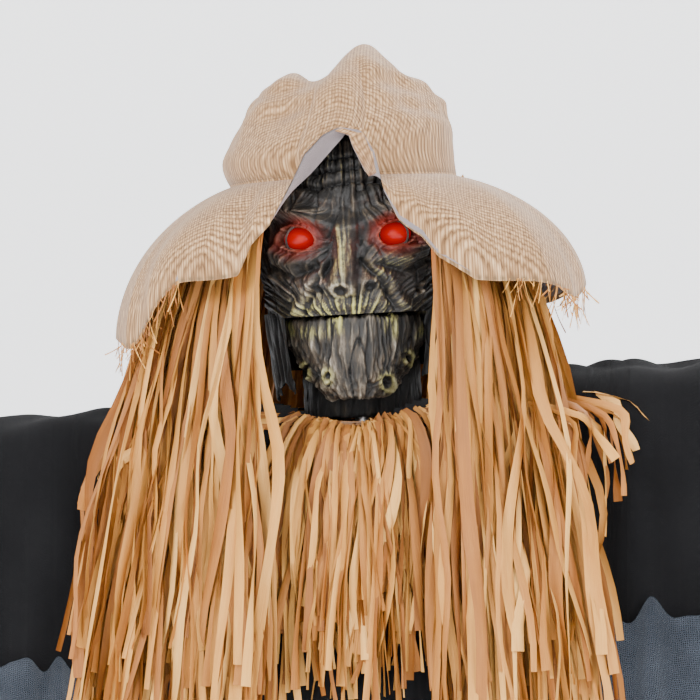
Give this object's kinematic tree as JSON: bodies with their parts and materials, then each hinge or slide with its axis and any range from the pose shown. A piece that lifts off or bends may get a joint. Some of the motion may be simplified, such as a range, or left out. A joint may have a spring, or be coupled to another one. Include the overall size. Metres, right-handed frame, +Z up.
{
  "type": "animated scarecrow figure",
  "caption": "Life-size standing scarecrow with a drooping burlap hat, bark mask with lit eyes, straw hair and collar, turning head, opening jaw and outstretched arms in a black robe.",
  "frame": {"origin": "on the floor under the pole's axis", "axes": "+Z up, the face looks towards -Y, +X to the viewer's right"},
  "size_m": [1.4708, 0.4878, 1.8303],
  "materials": {
    "black_plastic": "satin",
    "black_steel": "satin",
    "rubber": "matte",
    "zinc_steel": "satin",
    "knob_plastic": "gloss",
    "white_plastic": "satin",
    "red_plastic": "gloss",
    "black_cloth": "matte",
    "grey_gauze": "matte",
    "straw": "satin",
    "painted_bark": "satin",
    "burlap": "matte",
    "lining": "matte",
    "red_lens": "gloss",
    "cell_wrap": "gloss",
    "board_green": "satin"
  },
  "bodies": {
    "stand": {"base_hub": "black_plastic", "base_legs": "black_steel", "foot_caps": "rubber", "leg_screws": "zinc_steel", "lower_pole": "black_steel", "middle_pole": "black_steel", "upper_pole": "black_steel", "thumb_screws": "knob_plastic", "torso_block": "black_plastic", "torso_cover": "black_plastic", "cover_screws": "zinc_steel", "neck_bushing": "white_plastic", "turn_motor": "black_plastic", "shoulder_bars": "black_steel", "robe_front": "black_cloth", "robe_back": "black_cloth", "robe_yoke": "black_cloth", "sleeve_left": "black_cloth", "sleeve_right": "black_cloth", "sleeve_gauze": "grey_gauze", "collar_band": "straw", "collar_front": "straw", "collar_back": "straw", "collar_shoulders": "straw", "control_box": "black_plastic", "control_box_cover": "black_plastic", "batteries": "cell_wrap", "circuit_board": "board_green", "speaker": "black_plastic", "power_inlet": "black_plastic"},
    "head": {"neck_shaft": "zinc_steel", "turn_gear": "white_plastic", "skull_bracket": "black_plastic", "face_shell": "painted_bark", "back_shell": "painted_bark", "shell_screws": "zinc_steel", "neck_trunk": "painted_bark", "eye_sockets": "black_plastic", "eye_lenses": "red_lens", "eye_leds": "red_lens", "hinge_pins": "zinc_steel", "jaw_motor": "black_plastic", "hat_crown": "burlap", "hat_brim": "burlap", "hat_lining": "lining", "hair_left": "straw", "hair_right": "straw", "hair_back": "straw"},
    "turn_drive": {"turn_pinion": "white_plastic"},
    "jaw": {"jaw_shell": "painted_bark", "jaw_gear": "white_plastic"},
    "jaw_drive": {"jaw_pinion": "white_plastic"},
    "arm_left": {"arm_tube_left": "black_steel"},
    "arm_right": {"arm_tube_right": "black_steel"},
    "hand_left": {"hand_left": "painted_bark"},
    "hand_right": {"hand_right": "painted_bark"},
    "switch": {"power_switch": "red_plastic"},
    "button": {"try_button": "red_plastic"},
    "door": {"battery_door": "black_plastic"}
  },
  "joints": [
    {"name": "head_turn", "type": "hinge", "parent": "stand", "child": "head", "pos_m": [0, 0, 1.455], "axis": [0, 0, 1], "range_deg": [-30, 30], "deforming": ["hair_left", "hair_right", "hair_back"]},
    {"name": "turn_pinion_spin", "type": "hinge", "parent": "stand", "child": "turn_drive", "pos_m": [0, 0.03125, 1.44], "axis": [0, 0, 1], "range_deg": [-96, 96]},
    {"name": "jaw_open", "type": "hinge", "parent": "head", "child": "jaw", "pos_m": [-0.0068, 0.01, 1.58482], "axis": [0.9986, 0, 0.0523], "range_deg": [0, 12]},
    {"name": "jaw_pinion_spin", "type": "hinge", "parent": "head", "child": "jaw_drive", "pos_m": [-0.07571, 0.0375, 1.58121], "axis": [0.9986, 0, 0.0523], "range_deg": [-33, 0.5]},
    {"name": "arm_twist_left", "type": "hinge", "parent": "stand", "child": "arm_left", "pos_m": [-0.21418, 0, 1.40826], "axis": [0.9962, 0, 0.0872], "range_deg": [-60, 60]},
    {"name": "wrist_bend_left", "type": "hinge", "parent": "arm_left", "child": "hand_left", "pos_m": [-0.59373, 0, 1.37506], "axis": [0, 1, 0], "range_deg": [-35, 35]},
    {"name": "arm_twist_right", "type": "hinge", "parent": "stand", "child": "arm_right", "pos_m": [0.21418, 0, 1.44574], "axis": [0.9962, 0, 0.0872], "range_deg": [-60, 60]},
    {"name": "wrist_bend_right", "type": "hinge", "parent": "arm_right", "child": "hand_right", "pos_m": [0.59373, 0, 1.47894], "axis": [0, 1, 0], "range_deg": [-35, 35]},
    {"name": "switch_slide", "type": "slide", "parent": "stand", "child": "switch", "axis": [0, 0, 1], "range_m": [0, 0.006]},
    {"name": "button_press", "type": "slide", "parent": "stand", "child": "button", "axis": [0, -1, 0], "range_m": [0, 0.0015], "stiffness_N_per_m": 300},
    {"name": "door_slide", "type": "slide", "parent": "stand", "child": "door", "axis": [0, 0, -1], "range_m": [0, 0.03]}
  ],
  "couplings": [
    {"joint": "turn_pinion_spin", "follows": "head_turn", "ratio": -3.1667},
    {"joint": "jaw_pinion_spin", "follows": "jaw_open", "ratio": -2.6667}
  ]
}
